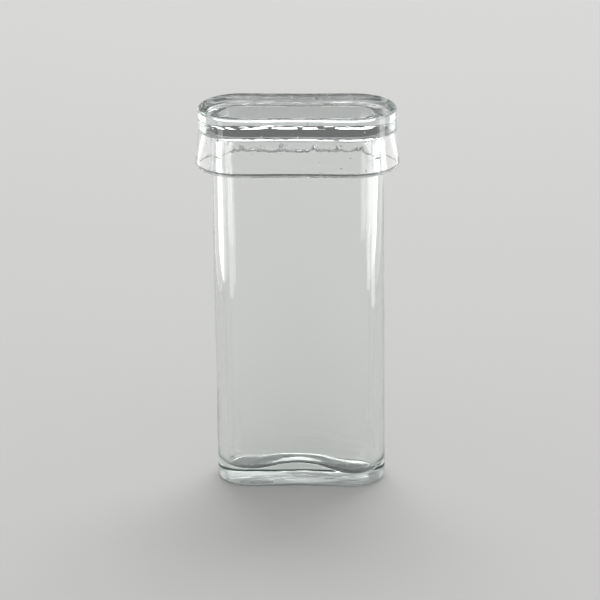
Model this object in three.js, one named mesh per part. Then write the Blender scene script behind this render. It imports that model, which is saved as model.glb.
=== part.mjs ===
// Oblong glass specimen jar with a loose glass lid that fits over its mouth.
// Millimetres, +Z up. The origin is on the standing surface, under the middle of the jar, and the
// long way of the jar runs along X. Both pieces are pressed clear glass.
import * as THREE from "three";

// --- Jar: driving sizes ---
const JAR_WIDTH = 45; // across the round ends
const JAR_DEPTH = 17.2; // across the long faces, and twice the radius of the round ends
const JAR_HEIGHT = 98.7; // standing surface to ground rim
const WALL_AT_MOUTH = 2.4;
const WALL_AT_FLOOR = 2.8;
const HEEL_RADIUS = 1.4; // rounding between the wall and the foot
const RIM_ROUNDING = 0.4; // on both edges of the rim
const WAIST = 0.6; // how far each long face bows in at the middle
const WAIST_AT_FLOOR = 3.1; // the same inside, where the wall thickens into the floor
const WAIST_GROWS_BELOW = 22; // height under which the inside waist deepens to that
const WAIST_THERE = 1.5; // inside waist at that height

// --- Jar: floor ---
const FLOOR = 3.05; // mean thickness of the floor in the two lobes
const FLOOR_SLOPE = 0.064; // the glass settled thicker towards -X, in mm for each mm of X
const FLOOR_HUMP = 2.4; // rise of the floor between the two lobes
const FLOOR_CORNER = 3.2; // rounding between the floor and the inside wall
const FOOT_ARCH = 0.3; // rise of the underside between the two feet
const FOOT_ARCH_SPAN = 18; // width of that arch along X

// --- Lid ---
const LID_THICKNESS = 6.1; // solid top, over the rim
const LID_REACH = 9.2; // how far the skirt hangs below the rim
const LID_EDGE = 0.7; // rounding of the top edge
const LID_WAIST = 0.25; // the lid hardly follows the waist of the jar
const SIDE_CLEARANCE = 0.5; // between the skirt and the long faces of the jar
const END_CLEARANCE = 1.4; // between the skirt and the round ends of the jar
const SKIRT_WALL = 2.0; // at the crease, under the solid top
const SIDE_FLARE = 1.75; // how much further out the skirt's long faces stand at their lower edge
const END_FLARE = 0.9; // the same for its round ends
const SKIRT_DRAFT = 1.5; // how much wider its inside is there
const SKIRT_LIP = 0.6; // rounding of the lower edge
const CREASE_DROP = 0.3; // the crease lies this far below the rim
const CEILING_CORNER = 0.35; // rounding where the skirt meets the solid top, less than SIDE_CLEARANCE

// --- How finely the shapes are cut ---
const ARC_STEPS = 14; // round each end
const FLAT_STEPS = 12; // along each long face
const WALL_STEPS = 4; // up the inside wall, above and below the height where the waist deepens
const EDGE_STEPS = 3; // round each small edge
const CORNER_STEPS = 5; // round the heel, and between the floor and the wall

const endRadius = JAR_DEPTH / 2;
const halfFlat = JAR_WIDTH / 2 - endRadius;

// The stations round an oblong, anticlockwise from above: "angle" is the way that the wall faces
// and "along" is the place on the centre line, from -1 to 1.
function stations() {
  const found = [];
  for (const end of [1, -1]) {
    const start = end > 0 ? -Math.PI / 2 : Math.PI / 2;
    for (let k = 0; k < ARC_STEPS; k++) {
      found.push({ angle: start + (Math.PI * k) / ARC_STEPS, along: end });
    }
    for (let k = 0; k < FLAT_STEPS; k++) {
      found.push({ angle: start + Math.PI, along: end * (1 - (2 * k) / FLAT_STEPS) });
    }
  }
  return found;
}

// 1 at the middle of a span and 0 at its ends and beyond, smooth throughout.
function swell(place) {
  return Math.abs(place) < 1 ? Math.cos((place * Math.PI) / 2) ** 2 : 0;
}

// A quarter circle of rows about a centre, from one angle to another in degrees.
function quarter(centreX, centreZ, radius, from, to, steps, more) {
  const rows = [];
  for (let k = 0; k <= steps; k++) {
    const share = k / steps;
    const angle = THREE.MathUtils.degToRad(from + (to - from) * share);
    const extra = typeof more === "function" ? more(share) : more;
    const radial = centreX + radius * Math.cos(angle);
    rows.push({ radius: radial, height: centreZ + radius * Math.sin(angle), ...extra });
  }
  return rows;
}

// A closed solid turned on a lathe from its rows and then drawn out into an oblong: each row goes
// round the stations at its own radius and height. "waist" draws the long faces in, "shorter" draws
// the round ends in, and "floor" and "foot" are the shares of the floor's and the underside's own
// shapes that a row follows.
function drawnOut(rows, flatLength) {
  const round = stations();
  const profile = rows.map((row) => new THREE.Vector2(row.radius, row.height));
  const geometry = new THREE.LatheGeometry(profile, round.length);
  const place = geometry.getAttribute("position");
  for (let i = 0; i < place.count; i++) {
    const row = rows[i % rows.length];
    const { angle, along } = round[Math.floor(i / rows.length) % round.length];
    const x = along * flatLength + (row.radius - (row.shorter ?? 0)) * Math.cos(angle);
    const drawnIn = (row.waist ?? 0) * swell(along);
    const y = Math.sin(angle) * Math.max(row.radius - drawnIn, 0);
    const floorRise = FLOOR_HUMP * swell(along) - FLOOR_SLOPE * x;
    const footRise = FOOT_ARCH * swell(x / (FOOT_ARCH_SPAN / 2));
    const z = row.height + (row.floor ?? 0) * floorRise + (row.foot ?? 0) * footRise;
    place.setXYZ(i, x, y, z);
  }
  geometry.computeVertexNormals();
  return geometry;
}

// Inside waist of the jar at a height: slow growth down the wall, then quick growth at the floor.
function insideWaist(height) {
  if (height > WAIST_GROWS_BELOW) {
    const down = (JAR_HEIGHT - height) / (JAR_HEIGHT - WAIST_GROWS_BELOW);
    return WAIST + (WAIST_THERE - WAIST) * down;
  }
  const down = (WAIST_GROWS_BELOW - height) / (WAIST_GROWS_BELOW - FLOOR);
  return WAIST_THERE + (WAIST_AT_FLOOR - WAIST_THERE) * Math.min(down, 1) ** 2;
}

// Inside radius of the jar at a height.
function insideRadius(height) {
  const down = (JAR_HEIGHT - height) / (JAR_HEIGHT - FLOOR);
  return endRadius - WALL_AT_MOUTH - (WALL_AT_FLOOR - WALL_AT_MOUTH) * down;
}

function insideRow(height) {
  return { radius: insideRadius(height), height, waist: insideWaist(height) };
}

function jarRows() {
  const footRadius = endRadius - HEEL_RADIUS;
  const cornerTop = FLOOR + FLOOR_CORNER;
  const cornerRadius = insideRadius(cornerTop) - FLOOR_CORNER;
  const bowed = { waist: WAIST };
  const shareOfFoot = (share) => ({ foot: 1 - share, waist: WAIST });
  const rows = [{ radius: 0, height: 0, foot: 1 }];
  rows.push(...quarter(footRadius, HEEL_RADIUS, HEEL_RADIUS, -90, 0, CORNER_STEPS, shareOfFoot));
  const outerEdge = endRadius - RIM_ROUNDING;
  const rimShoulder = JAR_HEIGHT - RIM_ROUNDING;
  rows.push(...quarter(outerEdge, rimShoulder, RIM_ROUNDING, 0, 90, EDGE_STEPS, bowed));
  const innerEdge = endRadius - WALL_AT_MOUTH + RIM_ROUNDING;
  rows.push(...quarter(innerEdge, rimShoulder, RIM_ROUNDING, 90, 180, EDGE_STEPS, bowed));
  for (let k = 1; k <= WALL_STEPS; k++) {
    rows.push(insideRow(rimShoulder + ((WAIST_GROWS_BELOW - rimShoulder) * k) / WALL_STEPS));
  }
  for (let k = 1; k < WALL_STEPS; k++) {
    rows.push(insideRow(WAIST_GROWS_BELOW + ((cornerTop - WAIST_GROWS_BELOW) * k) / WALL_STEPS));
  }
  // Down the corner the wall's waist closes on the floor's own edge, and the floor's shape takes over.
  const shareOfFloor = (share) => ({ floor: share, waist: insideWaist(cornerTop) });
  rows.push(...quarter(cornerRadius, cornerTop, FLOOR_CORNER, 0, -90, CORNER_STEPS, shareOfFloor));
  rows.push({ radius: 0, height: FLOOR, floor: 1 });
  return rows;
}

function lidRows() {
  const cavity = endRadius + SIDE_CLEARANCE;
  const top = JAR_HEIGHT + LID_THICKNESS;
  const slab = cavity + SKIRT_WALL;
  const lipOut = slab + SIDE_FLARE;
  const lipIn = cavity + SKIRT_DRAFT;
  const foot = JAR_HEIGHT - LID_REACH;
  const bowed = { waist: LID_WAIST };
  const rows = [{ radius: 0, height: JAR_HEIGHT }];
  const cornerZ = JAR_HEIGHT - CEILING_CORNER;
  rows.push(...quarter(cavity - CEILING_CORNER, cornerZ, CEILING_CORNER, 90, 0, EDGE_STEPS, bowed));
  rows.push(...quarter(lipIn + SKIRT_LIP, foot + SKIRT_LIP, SKIRT_LIP, 180, 270, EDGE_STEPS, bowed));
  const lip = { ...bowed, shorter: SIDE_FLARE - END_FLARE };
  rows.push(...quarter(lipOut - SKIRT_LIP, foot + SKIRT_LIP, SKIRT_LIP, 270, 360, EDGE_STEPS, lip));
  rows.push({ radius: slab, height: JAR_HEIGHT - CREASE_DROP, ...bowed });
  rows.push(...quarter(slab - LID_EDGE, top - LID_EDGE, LID_EDGE, 0, 90, EDGE_STEPS, bowed));
  rows.push({ radius: 0, height: top });
  return rows;
}

function clearGlass(colour) {
  return new THREE.MeshStandardMaterial({
    color: colour,
    roughness: 0.04,
    metalness: 0,
    transparent: true,
    opacity: 0.35,
  });
}

function jar() {
  const mesh = new THREE.Mesh(drawnOut(jarRows(), halfFlat), clearGlass(0xf2f5f3));
  mesh.name = "jar_body";
  return mesh;
}

// The lid's long faces are longer than the jar's by what the end clearance adds to the side one.
function lid() {
  const lidFlat = halfFlat + END_CLEARANCE - SIDE_CLEARANCE;
  const mesh = new THREE.Mesh(drawnOut(lidRows(), lidFlat), clearGlass(0xf5f6f4));
  mesh.name = "lid";
  return mesh;
}

const specimenJar = new THREE.Group();
specimenJar.name = "specimen_jar";
specimenJar.add(jar(), lid());

export default specimenJar;
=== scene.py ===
# %% [markdown]
# # A glass specimen jar with a loose lid
#
# Two pieces of clear glass: a tall oblong jar that is drawn in at the middle of its long faces, and
# a thick flat lid with a flared skirt. Glass shows its inside as much as its outside, so both are
# modelled as the solid glass they are, with an inner and an outer surface, and nothing is faked
# with a thin shell. Lengths are in metres; `MM` lets them be read in millimetres.

import math

import bpy
import numpy as np
from mathutils import Matrix, Vector


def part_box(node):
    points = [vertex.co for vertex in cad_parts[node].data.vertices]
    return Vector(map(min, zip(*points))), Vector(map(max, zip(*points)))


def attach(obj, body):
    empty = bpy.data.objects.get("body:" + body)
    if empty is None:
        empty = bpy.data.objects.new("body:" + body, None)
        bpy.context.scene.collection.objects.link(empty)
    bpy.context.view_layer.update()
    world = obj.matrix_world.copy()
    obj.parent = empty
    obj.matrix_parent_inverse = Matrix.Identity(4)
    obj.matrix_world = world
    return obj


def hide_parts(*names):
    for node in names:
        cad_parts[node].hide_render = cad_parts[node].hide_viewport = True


MM = 0.001
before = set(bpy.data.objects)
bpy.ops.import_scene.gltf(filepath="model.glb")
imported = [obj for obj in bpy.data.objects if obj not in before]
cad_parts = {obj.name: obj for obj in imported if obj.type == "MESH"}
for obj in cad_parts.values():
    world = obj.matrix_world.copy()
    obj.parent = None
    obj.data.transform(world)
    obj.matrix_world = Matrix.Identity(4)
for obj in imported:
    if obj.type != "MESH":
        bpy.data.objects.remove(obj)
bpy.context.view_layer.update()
jar_low, jar_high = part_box("jar_body")
lid_low, lid_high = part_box("lid")
print("jar", [round(v / MM, 1) for v in jar_high - jar_low])
print("lid", [round(v / MM, 1) for v in lid_high - lid_low])

# %% [markdown]
# ## Camera
#
# A long lens from about a metre away, looking down by 22 degrees, so that the verticals stay almost
# parallel. The camera leans by less than a degree, as a hand-levelled tripod does. It aims at a
# point half way up the jar.

# %% Camera
CAMERA_DISTANCE = 954 * MM
CAMERA_AZIMUTH = 2.4
CAMERA_ELEVATION = 22.0
CAMERA_LEAN = -0.72
FIELD_HALF_ANGLE = 4.764
AIM = Vector((0.15 * MM, 0, 50.6 * MM))

azimuth, elevation = math.radians(CAMERA_AZIMUTH), math.radians(CAMERA_ELEVATION)
back = Vector((
    math.sin(azimuth) * math.cos(elevation),
    -math.cos(azimuth) * math.cos(elevation),
    math.sin(elevation),
))
camera_data = bpy.data.cameras.new("camera")
camera_data.sensor_width = 36
camera_data.lens = camera_data.sensor_width / 2 / math.tan(math.radians(FIELD_HALF_ANGLE))
camera_data.clip_start, camera_data.clip_end = 0.05, 50
camera = bpy.data.objects.new("camera", camera_data)
bpy.context.scene.collection.objects.link(camera)
turn = (-back).to_track_quat("-Z", "Y").to_matrix().to_4x4()
lean = Matrix.Rotation(math.radians(CAMERA_LEAN), 4, "Z")
camera.matrix_world = Matrix.Translation(AIM + back * CAMERA_DISTANCE) @ turn @ lean
bpy.context.scene.camera = camera
print("lens", round(camera_data.lens), "mm")

# %% [markdown]
# ## Node helpers
#
# Shapes and materials here are both made of nodes. These few functions let a node network be
# written as sums are: each takes numbers or other nodes' sockets and gives back a socket.

# %% Node helpers
def feed(tree, socket, value):
    """Links a socket to a node's output, or sets it to a plain value."""
    if isinstance(value, bpy.types.NodeSocket):
        tree.links.new(value, socket)
    elif value is not None:
        socket.default_value = value


def node(tree, kind, *values, out=0, **settings):
    """Adds a node, sets its settings, feeds its inputs in order and returns one output."""
    made = tree.nodes.new(kind)
    for name, value in settings.items():
        setattr(made, name, value)
    for socket, value in zip([s for s in made.inputs if s.enabled], values):
        feed(tree, socket, value)
    return made.outputs[out]


def math_node(tree, operation, *values):
    return node(tree, "ShaderNodeMath", *values, operation=operation)


def vector_node(tree, operation, *values):
    made = node(tree, "ShaderNodeVectorMath", *values, operation=operation)
    return made.node.outputs["Vector"]


def noise(tree, where, scale, detail=2.0, roughness=0.5, distortion=0.0):
    """Smooth random numbers from place to place."""
    made = tree.nodes.new("ShaderNodeTexNoise")
    settings = {"Scale": scale, "Detail": detail, "Roughness": roughness, "Distortion": distortion}
    for name, value in {"Vector": where, **settings}.items():
        feed(tree, made.inputs[name], value)
    return made.outputs[0]


# %% [markdown]
# ## Sections
#
# Each piece is described by one section: the line that its surface follows from the middle of one
# side of the glass, round the edge, to the middle of the other. A point of a section says how far
# it lies from the outline's centre line, how high it is, and how deeply the long faces are drawn in
# there. Further numbers say how much it follows the floor's shape and the foot's arch, how ragged or
# crinkled it was left, whether it is ground dull, and whether it is inside. The sizes are those of
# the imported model, read from it or repeated here.

# %% Jar sizes
jar_end = jar_high.y  # radius of the round ends
jar_flat = jar_high.x - jar_end  # half the length of the flat part of the long faces
RIM_SEAT_GAP = 0.05 * MM  # the ground rim touches the lid only at its high spots
jar_rim = jar_high.z - RIM_SEAT_GAP
WALL_AT_MOUTH, WALL_AT_FLOOR = 2.4 * MM, 2.8 * MM
HEEL = 1.4 * MM
RIM_ROUNDING = 0.4 * MM
WAIST, WAIST_LOW, WAIST_AT_FLOOR = 0.6 * MM, 1.5 * MM, 3.1 * MM
LOW = 22 * MM  # the inside waist deepens below this height
FLOOR, FLOOR_HUMP, FLOOR_SLOPE = 3.05 * MM, 2.4 * MM, 0.064
FLOOR_CORNER = 3.2 * MM
FOOT_ARCH, FOOT_ARCH_SPAN = 0.3 * MM, 18 * MM
print("round ends of radius", round(jar_end / MM, 2), "mm, flats of", round(2 * jar_flat / MM, 2), "mm")

# %% Section helpers
KEYS = ("radius", "height", "waist", "floor", "arch", "ragged", "crinkled", "ground", "inside")


def point(radius, height, waist=0.0, **more):
    """One point of a section: a number for each key, nought where none is given."""
    given = {"radius": radius, "height": height, "waist": waist, **more}
    return tuple(given.get(key, 0.0) for key in KEYS)


def spaced(start, end, count):
    """Numbers from start up to, but not at, end."""
    return [start + (end - start) * k / count for k in range(count)]


def corner(centre, height, radius, start, end, steps):
    """Places on a quarter circle with the share of the way round, angles in degrees."""
    for k in range(steps + 1):
        share = k / steps
        angle = math.radians(start + (end - start) * share)
        yield share, centre + radius * math.cos(angle), height + radius * math.sin(angle)


# %% Jar section
FOOT_STEPS, HEEL_STEPS, OUTSIDE_STEPS = 14, 12, 60
RIM_STEPS, RIM_ROUNDING_STEPS = 6, 5
INSIDE_STEPS, FLOOR_CORNER_STEPS, FLOOR_STEPS = 70, 14, 4
HEEL_CRINKLED = 1 / 3  # share of the heel over which the crinkles of the underside die out


def inner_radius(height):
    """How far the inside wall of the jar lies from the centre line."""
    down = (jar_rim - height) / (jar_rim - FLOOR)
    return jar_end - WALL_AT_MOUTH - (WALL_AT_FLOOR - WALL_AT_MOUTH) * down


def inner_waist(height):
    """How deeply the inside of the long faces is drawn in."""
    if height > LOW:
        return WAIST + (WAIST_LOW - WAIST) * (jar_rim - height) / (jar_rim - LOW)
    down = (LOW - height) / (LOW - FLOOR)
    return WAIST_LOW + (WAIST_AT_FLOOR - WAIST_LOW) * min(down, 1) ** 2


jar_section = []
foot_radius = jar_end - HEEL
for radius in spaced(0, foot_radius, FOOT_STEPS):
    waist = WAIST * radius / foot_radius
    jar_section.append(point(radius, 0, waist, arch=1, crinkled=1, ground=1))
for share, radius, height in corner(foot_radius, HEEL, HEEL, -90, 0, HEEL_STEPS):
    crinkled = max(0, 1 - share / HEEL_CRINKLED)
    jar_section.append(point(radius, height, WAIST, arch=1 - share, crinkled=crinkled))
rim_shoulder = jar_rim - RIM_ROUNDING
for height in spaced(HEEL, rim_shoulder, OUTSIDE_STEPS)[1:]:
    jar_section.append(point(jar_end, height, WAIST))
outer_edge = jar_end - RIM_ROUNDING
for _, radius, height in corner(outer_edge, rim_shoulder, RIM_ROUNDING, 0, 90, RIM_ROUNDING_STEPS):
    jar_section.append(point(radius, height, WAIST, ragged=1, ground=1))
inner_edge = jar_end - WALL_AT_MOUTH + RIM_ROUNDING
for radius in spaced(outer_edge, inner_edge, RIM_STEPS)[1:]:
    jar_section.append(point(radius, jar_rim, WAIST, ground=1))
for _, radius, height in corner(inner_edge, rim_shoulder, RIM_ROUNDING, 90, 180, RIM_ROUNDING_STEPS):
    jar_section.append(point(radius, height, WAIST, ragged=1, ground=1, inside=1))
corner_top = FLOOR + FLOOR_CORNER
for height in spaced(rim_shoulder, corner_top, INSIDE_STEPS)[1:]:
    jar_section.append(point(inner_radius(height), height, inner_waist(height), inside=1))
corner_centre = inner_radius(corner_top) - FLOOR_CORNER
for share, radius, height in corner(corner_centre, corner_top, FLOOR_CORNER, 0, -90, FLOOR_CORNER_STEPS):
    jar_section.append(point(radius, height, inner_waist(corner_top), floor=share, inside=1))
for radius in spaced(corner_centre, 0, FLOOR_STEPS)[1:] + [0]:
    waist = inner_waist(corner_top) * radius / corner_centre
    jar_section.append(point(radius, FLOOR, waist, floor=1, inside=1))
print("jar section", len(jar_section), "points, inside", round((jar_rim - FLOOR) / MM, 1), "mm deep")

# %% Lid sizes
END_PLAY_MORE = 0.9 * MM  # the lid is this much looser at the ends than at the sides
SIDE_FLARE, END_FLARE = 1.75 * MM, 0.9 * MM
SKIRT_WALL, SKIRT_DRAFT, SKIRT_LIP = 2.0 * MM, 1.5 * MM, 0.6 * MM
LID_EDGE = 0.7 * MM
LID_WAIST = 0.25 * MM
CREASE_DROP = 0.3 * MM
CEILING_CORNER = 0.35 * MM
SEAM_HEIGHT, SEAM_WIDTH = 2.5 * MM, 0.4 * MM  # mould seam round the solid top, above the ceiling
SEAM_DEPTH = 0.2  # as a share of how ragged the lip is

lid_flat = jar_flat + END_PLAY_MORE
lid_ceiling = jar_high.z
lid_skirt = lid_high.y  # radius of the skirt's ends at its lower edge
lid_slab = lid_skirt - SIDE_FLARE
lid_cavity = lid_slab - SKIRT_WALL
lip_inside = lid_cavity + SKIRT_DRAFT
print("the lid has", round((lid_cavity - jar_end) / MM, 2), "mm of play at the sides")

# %% Lid section
CEILING_STEPS, OVER_RIM_STEPS, CEILING_CORNER_STEPS = 6, 12, 6
SKIRT_INSIDE_STEPS, LIP_STEPS, LIP_ROUNDING_STEPS, SKIRT_OUTSIDE_STEPS = 12, 6, 8, 16
LID_SIDE_STEPS, LID_EDGE_STEPS, LID_TOP_STEPS = 24, 10, 12
SKIRT_RAGGED = 0.25  # share of the skirt's height, from its lip, over which the raggedness dies out

lid_section = []
ceiling_edge = lid_cavity - CEILING_CORNER
seat_edge = inner_edge - RIM_ROUNDING  # over the rim, from here outward, the ceiling is crinkled
for radius in spaced(0, seat_edge, CEILING_STEPS):
    lid_section.append(point(radius, lid_ceiling, LID_WAIST * radius / ceiling_edge, inside=1))
for radius in spaced(seat_edge, ceiling_edge, OVER_RIM_STEPS):
    waist = LID_WAIST * radius / ceiling_edge
    lid_section.append(point(radius, lid_ceiling, waist, crinkled=1, inside=1))
skirt_top = lid_ceiling - CEILING_CORNER
for _, radius, height in corner(ceiling_edge, skirt_top, CEILING_CORNER, 90, 0, CEILING_CORNER_STEPS):
    lid_section.append(point(radius, height, LID_WAIST, inside=1))
lip_height = lid_low.z + SKIRT_LIP
for height in spaced(skirt_top, lip_height, SKIRT_INSIDE_STEPS)[1:]:
    down = (skirt_top - height) / (skirt_top - lip_height)
    worn = max(0, 1 - (1 - down) / SKIRT_RAGGED)
    radius = lid_cavity + SKIRT_DRAFT * down
    lid_section.append(point(radius, height, LID_WAIST, ragged=worn, inside=1))
lip_inner, lip_outer = lip_inside + SKIRT_LIP, lid_skirt - SKIRT_LIP
for _, radius, height in corner(lip_inner, lip_height, SKIRT_LIP, 180, 270, LIP_ROUNDING_STEPS):
    lid_section.append(point(radius, height, LID_WAIST, ragged=1, ground=1, inside=1))
for radius in spaced(lip_inner, lip_outer, LIP_STEPS)[1:]:
    lid_section.append(point(radius, lid_low.z, LID_WAIST, ragged=1, ground=1))
for _, radius, height in corner(lip_outer, lip_height, SKIRT_LIP, 270, 360, LIP_ROUNDING_STEPS):
    lid_section.append(point(radius, height, LID_WAIST, ragged=1))
crease = lid_ceiling - CREASE_DROP
for height in spaced(lip_height, crease, SKIRT_OUTSIDE_STEPS)[1:]:
    up = (height - lip_height) / (crease - lip_height)
    worn = max(0, 1 - up / SKIRT_RAGGED)
    lid_section.append(point(lid_skirt - SIDE_FLARE * up, height, LID_WAIST, ragged=worn))
lid_shoulder, top_edge = lid_high.z - LID_EDGE, lid_slab - LID_EDGE
for height in spaced(crease, lid_shoulder, LID_SIDE_STEPS):
    seam = max(0, 1 - abs(height - lid_ceiling - SEAM_HEIGHT) / SEAM_WIDTH)
    lid_section.append(point(lid_slab, height, LID_WAIST, ragged=SEAM_DEPTH * seam))
for _, radius, height in corner(top_edge, lid_shoulder, LID_EDGE, 0, 90, LID_EDGE_STEPS):
    lid_section.append(point(radius, height, LID_WAIST))
for radius in spaced(top_edge, 0, LID_TOP_STEPS)[1:] + [0]:
    waist = LID_WAIST * radius / top_edge
    lid_section.append(point(radius, lid_high.z, waist))
print("lid section", len(lid_section), "points")

# %% [markdown]
# ## Section and outline as plain lines
#
# The section's numbers ride on the points of a small mesh as attributes. The outline is a second
# line of points: where a point lies along the centre line, and the way that the glass faces there.

# %% Guide lines
ARC_STEPS, FLAT_STEPS = 80, 80


def guide(name, values):
    """A hidden object whose mesh has loose points that carry the named lists of numbers."""
    mesh = bpy.data.meshes.new(name)
    count = len(next(iter(values.values())))
    mesh.from_pydata([(0, 0, 0)] * count, [], [])
    for key, numbers in values.items():
        mesh.attributes.new(key, "FLOAT", "POINT").data.foreach_set("value", numbers)
    made = bpy.data.objects.new(name, mesh)
    bpy.context.scene.collection.objects.link(made)
    return made


def section_guide(name, section):
    return guide(name, {key: list(column) for key, column in zip(KEYS, zip(*section))})


stations = []
for end in (1, -1):
    start = -math.pi / 2 * end
    stations += [(start + math.pi * k / ARC_STEPS, end) for k in range(ARC_STEPS)]
    stations += [(start + math.pi, end * (1 - 2 * k / FLAT_STEPS)) for k in range(FLAT_STEPS)]
outline = guide("outline", {
    "across": [math.cos(angle) for angle, _ in stations],
    "deep": [math.sin(angle) for angle, _ in stations],
    "along": [place for _, place in stations],
})
jar_guide = section_guide("jar_section", jar_section)
lid_guide = section_guide("lid_section", lid_section)
print(len(stations), "stations round the outline")

# %% [markdown]
# ## The drawing tool
#
# One node group draws a section round the outline. A grid has a row for each point of the section
# and a column for each station. Every grid point looks up its own numbers, and takes its place from
# them. Where the radius is nought the columns meet along the centre line, and merging them closes
# the solid.
#
# Glass pressed by hand is never quite even. A slow noise moves each surface in or out by a few
# hundredths of a millimetre, and a quick one chips the edges inward. The lip of the skirt also hangs
# lower in a ragged wave, most of all at the back, and a fourth noise crinkles the flat faces that
# chilled first: the ceiling over the rim and the underside of the jar.

# %% Drawing tool
WALL_STRETCH = 0.35  # heights count for this much, which draws the noise out up the wall
SLOW_SCALE, SLOW_DETAIL = 95, 1.0  # scales are in waves to the metre
SLOW_MIDDLE = 0.42  # about the slow noise's own average, so that the walls keep their place
CHIP_SCALE, CHIP_DETAIL, CHIP_ROUGHNESS = 420, 4.0, 0.65
CHIPS_START, CHIPS_FULL = 0.45, 0.75
WAVE_SCALE, WAVE_DETAIL, WAVE_ROUGHNESS = 230, 6.0, 0.75
WAVE_LOW, WAVE_HIGH = 0.38, 0.68
WAVE_HANGS = 1.3  # how far the wave's foot hangs below the even lip, in wave heights
WAVE_AT_FRONT, FULLY_BACK = 0.08, 0.9
CREASE_STRETCH = 0.45  # lengths along the glass count for this much, which draws the crinkles out
CREASE_SCALE, CREASE_DETAIL, CREASE_DISTORTION = 500, 4.0, 1.2
MERGE_DISTANCE = 0.5e-6  # half a thousandth of a millimetre

tool = bpy.data.node_groups.new("drawn_round", "GeometryNodeTree")
tool.is_modifier = True
inputs = {}
for name, kind, default in (
    ("Section", "NodeSocketObject", None),
    ("Outline", "NodeSocketObject", None),
    ("Rows", "NodeSocketInt", 10),
    ("Columns", "NodeSocketInt", 10),
    ("Flat half length", "NodeSocketFloat", 0.01),
    ("Shorter ends", "NodeSocketFloat", 0.0),
    ("Shorter from", "NodeSocketFloat", 1.0),
    ("Floor hump", "NodeSocketFloat", 0.0),
    ("Floor slope", "NodeSocketFloat", 0.0),
    ("Foot arch", "NodeSocketFloat", 0.0),
    ("Arch span", "NodeSocketFloat", 0.01),
    ("Unevenness", "NodeSocketFloat", 0.0),
    ("Raggedness", "NodeSocketFloat", 0.0),
    ("Lip wave", "NodeSocketFloat", 0.0),
    ("Crinkle", "NodeSocketFloat", 0.0),
    ("Seed", "NodeSocketFloat", 0.0),
    ("Glass", "NodeSocketMaterial", None),
    ("Ground glass", "NodeSocketMaterial", None),
):
    socket = tool.interface.new_socket(name, in_out="INPUT", socket_type=kind)
    if default is not None:
        socket.default_value = default
    inputs[name] = socket.identifier
tool.interface.new_socket("Solid", in_out="OUTPUT", socket_type="NodeSocketGeometry")
group_in = tool.nodes.new("NodeGroupInput").outputs


def plus(a, b):
    return math_node(tool, "ADD", a, b)


def minus(a, b):
    return math_node(tool, "SUBTRACT", a, b)


def times(a, b):
    return math_node(tool, "MULTIPLY", a, b)


def over(a, b):
    return math_node(tool, "DIVIDE", a, b)


def scaled(vector, amount):
    """A vector multiplied by a number."""
    made = vector_node(tool, "SCALE", vector)
    feed(tool, made.node.inputs["Scale"], amount)
    return made


def chained(kind, geometry, **fed):
    """A node that changes a geometry, with named inputs."""
    made = node(tool, kind, out="Geometry")
    feed(tool, made.node.inputs["Geometry"], geometry)
    for name, value in fed.items():
        feed(tool, made.node.inputs[name], value)
    return made


# The grid, and which point of the section and which station each grid point stands for.
grid = node(tool, "GeometryNodeMeshGrid", 1.0, 1.0, plus(group_in["Columns"], 1), group_in["Rows"])
index = node(tool, "GeometryNodeInputIndex")
row = math_node(tool, "FLOORED_MODULO", index, group_in["Rows"])
turns = math_node(tool, "FLOOR", over(index, group_in["Rows"]))
column = math_node(tool, "FLOORED_MODULO", turns, group_in["Columns"])


def looked_up(source, key, place):
    """The named number of a guide's point, for every grid point."""
    shape = node(tool, "GeometryNodeObjectInfo", source, out="Geometry")
    named = node(tool, "GeometryNodeInputNamedAttribute", key, data_type="FLOAT")
    sample = tool.nodes.new("GeometryNodeSampleIndex")
    sample.data_type, sample.domain = "FLOAT", "POINT"
    for socket, value in zip([s for s in sample.inputs if s.enabled], (shape, named, place)):
        feed(tool, socket, value)
    return sample.outputs[0]


radius, height, waist, floor, arch, ragged, crinkled, ground, inside = (
    looked_up(group_in["Section"], key, row) for key in KEYS)
across, deep, along = (
    looked_up(group_in["Outline"], key, column) for key in ("across", "deep", "along"))


def swell(place):
    """1 at the middle of a span from -1 to 1 and 0 at its ends and beyond."""
    within = math_node(tool, "MINIMUM", math_node(tool, "ABSOLUTE", place), 1.0)
    return math_node(tool, "POWER", math_node(tool, "COSINE", times(within, math.pi / 2)), 2.0)


# The long faces are drawn in by the waist, and the ends of a flared skirt by a share of its flare.
flare = math_node(tool, "MAXIMUM", minus(radius, group_in["Shorter from"]), 0.0)
reach = minus(radius, times(flare, group_in["Shorter ends"]))
x = plus(times(along, group_in["Flat half length"]), times(reach, across))
drawn_in = minus(radius, times(waist, swell(along)))
y = times(deep, math_node(tool, "MAXIMUM", drawn_in, 0.0))
rise = minus(times(group_in["Floor hump"], swell(along)), times(group_in["Floor slope"], x))
arched = times(group_in["Foot arch"], swell(over(x, over(group_in["Arch span"], 2.0))))
z = plus(times(floor, rise), plus(times(arch, arched), height))
place = node(tool, "ShaderNodeCombineXYZ", x, y, z)

# Slow unevenness and quick chips, both different inside and outside and from piece to piece.
stretched = vector_node(tool, "MULTIPLY", place, (1.0, 1.0, WALL_STRETCH))
own_place = node(tool, "ShaderNodeCombineXYZ", inside, group_in["Seed"], 0.0)
where = vector_node(tool, "ADD", stretched, own_place)
slow = noise(tool, where, SLOW_SCALE, SLOW_DETAIL)
quick = noise(tool, where, CHIP_SCALE, CHIP_DETAIL, CHIP_ROUGHNESS)
chips = node(tool, "ShaderNodeMapRange", quick, CHIPS_START, CHIPS_FULL, 0.0, 1.0)
chipped = times(ragged, times(chips, group_in["Raggedness"]))
inward = plus(times(minus(slow, SLOW_MIDDLE), group_in["Unevenness"]), chipped)
faces = node(tool, "ShaderNodeCombineXYZ", across, deep, 0.0)
side = minus(times(inside, 2.0), 1.0)
off_middle = math_node(tool, "GREATER_THAN", radius, 0.0)
moved_in = scaled(scaled(faces, times(inward, side)), off_middle)

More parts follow.
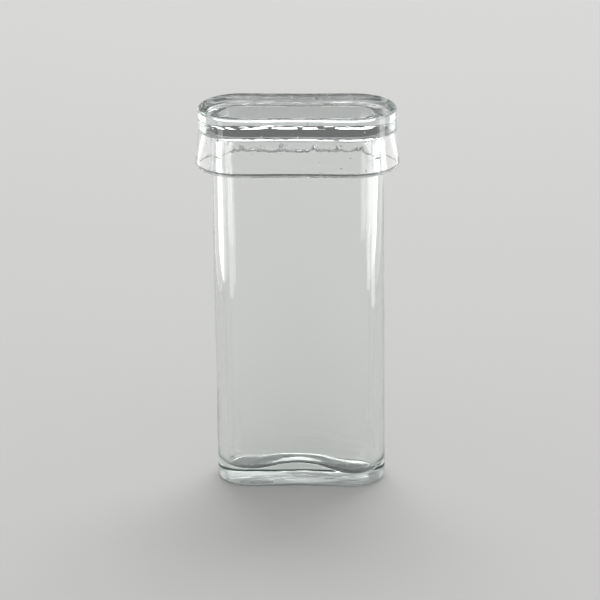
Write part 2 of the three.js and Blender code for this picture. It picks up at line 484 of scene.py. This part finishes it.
# The wave of the lip and the crinkles both move the glass up or down.
flat_place = vector_node(tool, "MULTIPLY", where, (1.0, 1.0, 0.0))
wave = noise(tool, flat_place, WAVE_SCALE, WAVE_DETAIL, WAVE_ROUGHNESS)
waved = node(tool, "ShaderNodeMapRange", wave, WAVE_LOW, WAVE_HIGH, 0.0, 1.0)
to_back = node(tool, "ShaderNodeMapRange", deep, 0.0, FULLY_BACK, WAVE_AT_FRONT, 1.0)
lip_rise = times(times(ragged, to_back), times(minus(waved, WAVE_HANGS), group_in["Lip wave"]))
crease_place = vector_node(tool, "MULTIPLY", where, (CREASE_STRETCH, 1.0, 0.0))
creases = noise(tool, crease_place, CREASE_SCALE, CREASE_DETAIL, distortion=CREASE_DISTORTION)
crease_rise = times(crinkled, times(creases, group_in["Crinkle"]))
lifted = node(tool, "ShaderNodeCombineXYZ", 0.0, 0.0, plus(lip_rise, crease_rise))
moved = vector_node(tool, "ADD", vector_node(tool, "ADD", place, moved_in), lifted)
placed = chained("GeometryNodeSetPosition", grid, Position=moved)

# Close it, give it its two finishes and smooth it.
marked = node(tool, "GeometryNodeStoreNamedAttribute", data_type="FLOAT", domain="POINT")
feed(tool, marked.node.inputs["Geometry"], placed)
marked.node.inputs["Name"].default_value = "ground"
for socket in marked.node.inputs:
    if socket.name == "Value" and socket.enabled:
        feed(tool, socket, ground)
closed = chained("GeometryNodeMergeByDistance", marked, Distance=MERGE_DISTANCE)
glassy = chained("GeometryNodeSetMaterial", closed, Material=group_in["Glass"])
named_ground = node(tool, "GeometryNodeInputNamedAttribute", "ground", data_type="FLOAT")
ground_faces = math_node(tool, "GREATER_THAN", named_ground, 0.5)
frosted = chained(
    "GeometryNodeSetMaterial", glassy, Selection=ground_faces, Material=group_in["Ground glass"])
smooth = chained("GeometryNodeSetShadeSmooth", frosted)
real = node(tool, "GeometryNodeRealizeInstances", smooth)
feed(tool, tool.nodes.new("NodeGroupOutput").inputs[0], real)
print("drawing tool has", len(tool.nodes), "nodes")

# %% [markdown]
# ## Glass
#
# Clear glass bends light by its refractive index of about 1.5 and hardly colours it. Over a long
# path, such as along the edge of a thick lid, a faint grey-green shows, so the colour is in the
# volume and not on the surface. The surface isn't perfectly smooth: a fire polish leaves faint
# ripples, and years of handling leave a haze that differs from place to place. The lid also has
# seeds, which are small bubbles that broke the skin and left pits. Ground glass is the same glass
# with a coarse dull skin, for the rim, the skirt's lip and the underside of the jar.

# %% Glass
GLASS_IOR = 1.5
HAZE_SCALE, HAZE_DETAIL = 70, 4
HAZE_START, HAZE_FULL = 0.35, 0.75
RIPPLE_SCALE, RIPPLE_DEPTH = 220, 0.1 * MM
RIPPLE_STRETCH = 0.5  # heights count for this much, which draws the ripples out up the wall
SEED_SCALE, SEED_SIZE, SEED_DEPTH = 520, 0.12, 0.4 * MM  # its size is a share of the seeds' spacing
GREEN_GREY, LID_GREY = (0.70, 0.77, 0.74), (0.70, 0.76, 0.74)


def bumped(tree, height, depth, strength=1.0, under=None):
    """A surface direction that follows a height, on top of another one if that is given."""
    made = tree.nodes.new("ShaderNodeBump")
    for name, value in {"Distance": depth, "Strength": strength, "Height": height, "Normal": under}.items():
        feed(tree, made.inputs[name], value)
    return made.outputs[0]


def seed_pits(tree, where, share):
    """1 at the middle of a seed and 0 off it, with seeds at this share of a lattice's places."""
    lattice = tree.nodes.new("ShaderNodeTexVoronoi")
    feed(tree, lattice.inputs["Vector"], where)
    lattice.inputs["Scale"].default_value = SEED_SCALE
    pits = node(tree, "ShaderNodeMapRange", lattice.outputs["Distance"], 0.0, SEED_SIZE, 1.0, 0.0)
    lot = node(tree, "ShaderNodeSeparateColor", lattice.outputs["Color"])
    return math_node(tree, "MULTIPLY", pits, math_node(tree, "LESS_THAN", lot, share))


def clear_glass(name, tint, density, haze, ripple, through=1.0, seedy=0.0):
    made = bpy.data.materials.new(name)
    made.use_nodes = True
    tree = made.node_tree
    shader = tree.nodes["Principled BSDF"]
    shader.inputs["Base Color"].default_value = (1, 1, 1, 1)
    shader.inputs["Transmission Weight"].default_value = through
    shader.inputs["IOR"].default_value = GLASS_IOR
    where = tree.nodes.new("ShaderNodeTexCoord").outputs["Object"]
    cloud = noise(tree, where, HAZE_SCALE, HAZE_DETAIL)
    hazy = node(tree, "ShaderNodeMapRange", cloud, HAZE_START, HAZE_FULL, *haze)
    feed(tree, shader.inputs["Roughness"], hazy)
    stretched = vector_node(tree, "MULTIPLY", where, (1.0, 1.0, RIPPLE_STRETCH))
    skin = bumped(tree, noise(tree, stretched, RIPPLE_SCALE), RIPPLE_DEPTH, ripple)
    if seedy:
        skin = bumped(tree, seed_pits(tree, where, seedy), SEED_DEPTH, under=skin)
    feed(tree, shader.inputs["Normal"], skin)
    absorb = tree.nodes.new("ShaderNodeVolumeAbsorption")
    absorb.inputs["Color"].default_value = (*tint, 1)
    absorb.inputs["Density"].default_value = density
    feed(tree, tree.nodes["Material Output"].inputs["Volume"], absorb.outputs[0])
    return made


jar_glass = clear_glass("jar_glass", GREEN_GREY, density=45, haze=(0.0, 0.03), ripple=0.05)
lid_glass = clear_glass("lid_glass", LID_GREY, density=30, haze=(0.0, 0.04), ripple=0.06, seedy=0.45)
ground_glass = clear_glass(
    "ground_glass", GREEN_GREY, density=45, haze=(0.2, 0.45), ripple=0.4, through=0.7)
print("materials", [m.name for m in (jar_glass, lid_glass, ground_glass)])

# %% [markdown]
# ## The two pieces
#
# The same tool makes both. Its result is kept as a plain mesh.

# %% Pieces
def drawn(name, section, count, replaces, body, **settings):
    """Runs the drawing tool and keeps its result as a mesh that rides on a body."""
    carrier = bpy.data.objects.new(name, bpy.data.meshes.new(name))
    bpy.context.scene.collection.objects.link(carrier)
    modifier = carrier.modifiers.new("drawn_round", "NODES")
    modifier.node_group = tool
    values = {"Section": section, "Outline": outline, "Rows": count, "Columns": len(stations)}
    for key, value in {**values, **settings}.items():
        modifier[inputs[key]] = value
    bpy.context.view_layer.update()
    evaluated = carrier.evaluated_get(bpy.context.evaluated_depsgraph_get())
    mesh = bpy.data.meshes.new_from_object(evaluated)
    mesh.name = name
    made = bpy.data.objects.new(name, mesh)
    bpy.data.objects.remove(carrier)
    bpy.context.scene.collection.objects.link(made)
    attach(made, body)
    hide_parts(replaces)
    return made


jar = drawn(
    "jar_glass", jar_guide, len(jar_section), "jar_body", "jar", **{
        "Flat half length": jar_flat, "Floor hump": FLOOR_HUMP, "Floor slope": FLOOR_SLOPE,
        "Foot arch": FOOT_ARCH, "Arch span": FOOT_ARCH_SPAN, "Unevenness": 0.22 * MM,
        "Raggedness": 0.5 * MM, "Crinkle": 0.3 * MM, "Seed": 3.0,
        "Glass": jar_glass, "Ground glass": ground_glass,
    })
lid = drawn(
    "lid_glass", lid_guide, len(lid_section), "lid", "lid", **{
        "Flat half length": lid_flat, "Shorter ends": (SIDE_FLARE - END_FLARE) / SIDE_FLARE,
        "Shorter from": lid_slab, "Unevenness": 0.2 * MM, "Raggedness": 0.2 * MM,
        "Lip wave": 1.0 * MM, "Crinkle": 0.4 * MM, "Seed": 11.0,
        "Glass": lid_glass, "Ground glass": ground_glass,
    })
for guide_object in (outline, jar_guide, lid_guide):
    bpy.data.objects.remove(guide_object)


def signed_volume(mesh):
    """Positive when the faces look outward."""
    mesh.calc_loop_triangles()
    corners = np.empty(len(mesh.vertices) * 3)
    mesh.vertices.foreach_get("co", corners)
    corners = corners.reshape(-1, 3)
    triangles = np.empty(len(mesh.loop_triangles) * 3, dtype=np.int32)
    mesh.loop_triangles.foreach_get("vertices", triangles)
    a, b, c = (corners[triangles.reshape(-1, 3)[:, k]] for k in range(3))
    return float(np.einsum("ij,ij->i", a, np.cross(b, c)).sum() / 6)


for piece in (jar, lid):
    volume = signed_volume(piece.data)
    if volume < 0:
        piece.data.flip_normals()
    print(piece.name, len(piece.data.polygons), "faces,", round(abs(volume) / MM**3), "mm3")

# %% [markdown]
# ## Studio
#
# A plain pale floor, a large soft lamp behind and overhead, and a wide softbox and a narrow strip
# lamp on each side. Upright glass seen from above reflects what stands low beside it, so these four
# stand on the floor, close in. The strips draw the long highlights down the round ends, and the
# softboxes lay paler bands beside them. The world is a low pale backdrop all round, a dim grey above
# it, which the solid top and the floor of the jar mirror as darker bands, and a bright ceiling.

# %% Floor and world
FLOOR_SIZE = 12
FLOOR_COLOUR = (0.70, 0.70, 0.69)
FLOOR_ROUGHNESS = 0.8
AIR_UNDER_FOOT = 0.06 * MM  # glass never sits in optical contact with a table
bpy.ops.mesh.primitive_plane_add(size=FLOOR_SIZE, location=(0, 0, -AIR_UNDER_FOOT))
studio_floor = bpy.context.object
studio_floor.name = "studio_floor"
floor_paint = bpy.data.materials.new("studio_floor")
floor_paint.use_nodes = True
matt = floor_paint.node_tree.nodes["Principled BSDF"].inputs
matt["Base Color"].default_value = (*FLOOR_COLOUR, 1)
matt["Roughness"].default_value = FLOOR_ROUGHNESS
matt["Specular IOR Level"].default_value = 0
studio_floor.data.materials.append(floor_paint)

SKY = (  # colours by how far up they lie, as the sine of the angle above the horizon
    (0.12, (0.56, 0.56, 0.56)),
    (0.28, (0.16, 0.16, 0.165)),
    (0.55, (0.16, 0.16, 0.16)),
    (0.85, (0.85, 0.85, 0.85)),
)
world = bpy.data.worlds.new("studio")
bpy.context.scene.world = world
world.use_nodes = True
sky = world.node_tree
towards = sky.nodes.new("ShaderNodeTexCoord").outputs["Generated"]
upward = node(sky, "ShaderNodeSeparateXYZ", towards, out=2)
ramp = sky.nodes.new("ShaderNodeValToRGB")
feed(sky, ramp.inputs[0], upward)
stops = ramp.color_ramp.elements
for k, (height, colour) in enumerate(SKY):
    stop = stops[k] if k < len(stops) else stops.new(height)
    stop.position, stop.color = height, (*colour, 1)
feed(sky, sky.nodes["Background"].inputs["Color"], ramp.outputs[0])
print("floor", FLOOR_COLOUR, "and", len(stops), "levels of sky")

# %% Lamps
def lamp(name, place, aim, width, tall, watts):
    data = bpy.data.lights.new(name, "AREA")
    data.shape, data.size, data.size_y, data.energy = "RECTANGLE", width, tall, watts
    made = bpy.data.objects.new(name, data)
    bpy.context.scene.collection.objects.link(made)
    made.location = place
    made.rotation_mode = "QUATERNION"
    made.rotation_quaternion = (Vector(aim) - Vector(place)).to_track_quat("-Z", "Y")
    made.visible_camera = False
    return made


TOP_PLACE, TOP_WIDTH, TOP_DEPTH, TOP_WATTS = (0.08, 0.75, 1.15), 1.2, 0.9, 9
lamp("top", TOP_PLACE, (0, 0, 0), TOP_WIDTH, TOP_DEPTH, TOP_WATTS)

TALL = 0.3
SOFTBOXES = (  # x, y, degrees turned towards the back from facing along X, width, glow
    (-0.154, 0.03, -16, 0.2, 2.8),
    (0.16, 0.07, 0, 0.28, 2.8),
    (-0.126, -0.09, 36, 0.035, 10),
    (0.1465, -0.023, 9, 0.04, 10),
)
for x, y, turned, wide, glow in SOFTBOXES:
    towards_jar = -math.copysign(math.cos(math.radians(turned)), x)
    aim = (x + towards_jar, y + math.sin(math.radians(turned)), TALL / 2)
    softbox = lamp("softbox", (x, y, TALL / 2), aim, wide, TALL, glow * wide * TALL)
    softbox.visible_diffuse = False
print(len(SOFTBOXES), "softboxes and a top lamp")

# %% [markdown]
# ## Light paths and colour
#
# A ray crosses a wall of glass many times before it leaves it, so it is followed further than usual.
# Colours are shown as they are, without a film curve.

# %% Light paths and colour
scene = bpy.context.scene
scene.view_settings.view_transform = "Standard"
scene.cycles.max_bounces = 32
scene.cycles.transmission_bounces = 32
scene.cycles.glossy_bounces = 16
